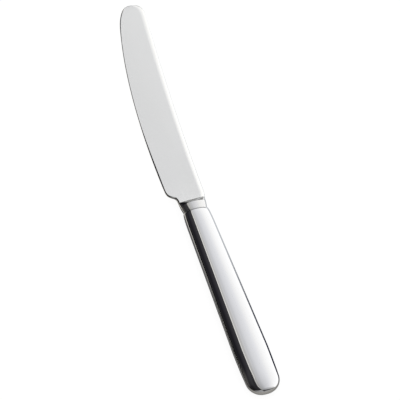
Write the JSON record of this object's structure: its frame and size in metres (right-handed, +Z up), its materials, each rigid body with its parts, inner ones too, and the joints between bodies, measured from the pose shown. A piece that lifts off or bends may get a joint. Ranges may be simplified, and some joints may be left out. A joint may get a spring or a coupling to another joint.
{
  "type": "table knife",
  "caption": "Stainless table knife lying flat: satin blade with a rounded tip, short polished collar and a tapered hollow handle with a round butt.",
  "frame": {"origin": "centre of the bounding box on the table plane, under the knife", "axes": "+X along the knife towards the tip of the blade, +Y towards the cutting edge, +Z up from the table"},
  "size_m": [0.236, 0.0242, 0.0077],
  "materials": {
    "satin_steel": "fine satin, ground along the blade",
    "polished_collar": "mirror polished stainless steel",
    "polished_steel": "mirror polished stainless steel",
    "filler": "cast cement filler, matte and hidden"
  },
  "bodies": {
    "root": {"blade": "satin_steel", "bolster_collar": "polished_collar", "handle_shell_upper": "polished_steel", "handle_shell_lower": "polished_steel", "handle_filler": "filler"}
  },
  "joints": []
}
